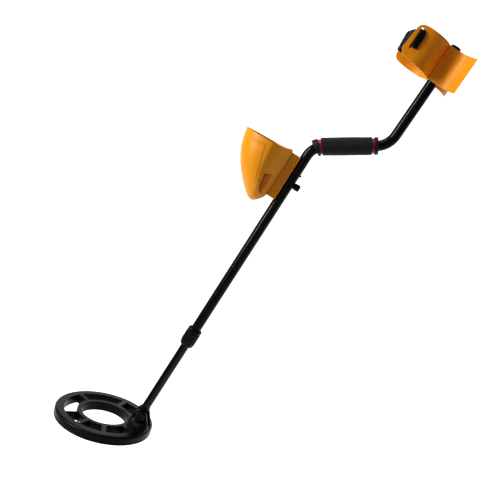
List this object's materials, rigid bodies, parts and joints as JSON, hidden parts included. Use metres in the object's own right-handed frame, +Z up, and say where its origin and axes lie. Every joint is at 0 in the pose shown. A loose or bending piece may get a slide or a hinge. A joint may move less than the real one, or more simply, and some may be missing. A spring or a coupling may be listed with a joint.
{
  "type": "metal detector",
  "caption": "Hand-held metal detector with an S-shaped rod, foam grip, armrest cuff, meter housing, telescopic stem and a round spoked search coil on a tilting hinge.",
  "frame": {"origin": "middle of the grip, on the axis of the rod", "axes": "+X along the level grip towards the user's elbow, +Y to the user's right-hand side seen from behind the armrest, +Z up; Y = 0 is the plane of the bent rod"},
  "size_m": [0.8948, 0.222, 0.8736],
  "materials": {
    "rod_black": "gloss black anodised aluminium tube",
    "stem_black": "gloss black lower tube",
    "cap_black": "satin moulded plastic",
    "knob_black": "satin moulded plastic with fluted edges",
    "coil_charcoal": "fine textured satin moulding",
    "grip_foam": "closed cell foam, fine pores",
    "ring_rubber": "smooth satin rubber",
    "rubber_black": "matt rubber",
    "band_red": "bright red satin plastic",
    "shell_orange": "yellow-orange moulding, soft sheen",
    "webbing_black": "woven nylon webbing",
    "steel": "zinc plated",
    "spring_steel": "polished spring steel",
    "brass": "turned brass",
    "nylon_white": "natural nylon",
    "winding_copper": "taped enamelled copper wire",
    "panel_black": "satin printed panel, no lettering",
    "lens_clear": "clear moulded window",
    "dial_white": "white scale with coloured arc, no lettering",
    "needle_red": "red enamelled pointer",
    "lamp_red": "translucent red lamp",
    "jack_nylon": "black nylon",
    "speaker_grey": "pressed cone and steel magnet",
    "board_green": "green glass-fibre laminate",
    "chip_black": "moulded components",
    "battery_case": "plain sleeve without lettering"
  },
  "bodies": {
    "upper_assembly": {"upper_rod": "rod_black", "joint_spigot": "rod_black", "middle_stem": "rod_black", "rod_end_cap": "cap_black", "snap_spring": "spring_steel", "clamp_saddle": "knob_black", "clamp_insert": "brass", "stem_ferrule": "cap_black", "collet": "nylon_white", "grip_sleeve": "grip_foam", "grip_bands": "band_red", "grip_end_rings": "ring_rubber", "armrest": "shell_orange", "armrest_fixings": "steel", "arm_strap": "webbing_black", "strap_stops": "cap_black", "control_housing": "shell_orange", "face_panel": "panel_black", "panel_screws": "steel", "rod_bracket": "shell_orange", "bracket_screws": "steel", "meter_case": "cap_black", "meter_window": "lens_clear", "meter_dial": "dial_white", "meter_movement": "steel", "potentiometers": "steel", "switch_body": "cap_black", "indicator_lamp": "lamp_red", "headphone_jack": "jack_nylon", "speaker": "speaker_grey", "circuit_board": "board_green", "board_parts": "chip_black", "battery_tray": "cap_black", "batteries": "battery_case", "battery_clips": "chip_black", "coil_socket": "jack_nylon"},
    "snap_button_body": {"snap_button": "knob_black"},
    "clamp": {"clamp_knob": "knob_black", "clamp_screw": "steel"},
    "collar": {"lock_collar": "knob_black"},
    "stem_guide": {"stem_guide_bush": "cap_black"},
    "stem": {"lower_stem": "stem_black", "stem_foot": "cap_black"},
    "coil": {"coil_top_shell": "coil_charcoal", "coil_spokes": "coil_charcoal", "coil_bottom_cover": "coil_charcoal", "cover_screws": "steel", "transmit_winding": "winding_copper", "receive_winding": "winding_copper", "coil_lead_gland": "rubber_black", "hinge_bolt": "cap_black", "hinge_washers": "rubber_black"},
    "tilt_knob": {"hinge_knob": "knob_black"},
    "sensitivity": {"sensitivity_knob": "knob_black", "sensitivity_spindle": "steel"},
    "discrimination": {"discrimination_knob": "knob_black", "discrimination_spindle": "steel"},
    "mode_switch": {"mode_rocker": "knob_black"},
    "needle": {"meter_needle": "needle_red"},
    "door": {"battery_door": "shell_orange"}
  },
  "joints": [
    {"name": "stem_slide", "type": "slide", "parent": "upper_assembly", "child": "stem_guide", "axis": [0.5446, 0, 0.8387], "range_m": [-0.06, 0.15]},
    {"name": "stem_swivel", "type": "hinge", "parent": "stem_guide", "child": "stem", "pos_m": [-0.27413, 0, -0.32004], "axis": [0.5446, 0, 0.8387], "range_deg": [-90, 90]},
    {"name": "coil_tilt", "type": "hinge", "parent": "stem", "child": "coil", "pos_m": [-0.44766, 0, -0.58724], "axis": [0, 1, 0], "range_deg": [-70, 100]},
    {"name": "tilt_knob_turn", "type": "hinge", "parent": "coil", "child": "tilt_knob", "pos_m": [-0.44766, -0.022, -0.58724], "axis": [0, -1, 0], "range_deg": [-270, 0]},
    {"name": "collar_turn", "type": "hinge", "parent": "upper_assembly", "child": "collar", "pos_m": [-0.33241, 0, -0.40977], "axis": [0.5446, 0, 0.8387], "range_deg": [-90, 0]},
    {"name": "clamp_turn", "type": "hinge", "parent": "upper_assembly", "child": "clamp", "pos_m": [-0.1, 0, -0.08495], "axis": [0.8387, 0, -0.5446], "range_deg": [-270, 0]},
    {"name": "button_press", "type": "slide", "parent": "upper_assembly", "child": "snap_button_body", "axis": [-0.8387, 0, 0.5446], "range_m": [0, 0.003], "stiffness_N_per_m": 900, "springref_m": -0.001, "deforming": ["snap_spring"]},
    {"name": "sensitivity_turn", "type": "hinge", "parent": "upper_assembly", "child": "sensitivity", "pos_m": [-0.13701, -0.03, -0.00607], "axis": [0.5446, 0, 0.8387], "range_deg": [-150, 150]},
    {"name": "discrimination_turn", "type": "hinge", "parent": "upper_assembly", "child": "discrimination", "pos_m": [-0.13701, 0.03, -0.00607], "axis": [0.5446, 0, 0.8387], "range_deg": [-150, 150]},
    {"name": "mode_select", "type": "hinge", "parent": "upper_assembly", "child": "mode_switch", "pos_m": [-0.14246, 0, -0.01445], "axis": [0, 1, 0], "range_deg": [-10, 10]},
    {"name": "needle_swing", "type": "hinge", "parent": "upper_assembly", "child": "needle", "pos_m": [-0.16225, 0, -0.00637], "axis": [0.5446, 0, 0.8387], "range_deg": [-40, 40], "stiffness_Nm_per_rad": 0.0005},
    {"name": "battery_door_open", "type": "slide", "parent": "upper_assembly", "child": "door", "axis": [0, 1, 0], "range_m": [0, 0.03]}
  ]
}
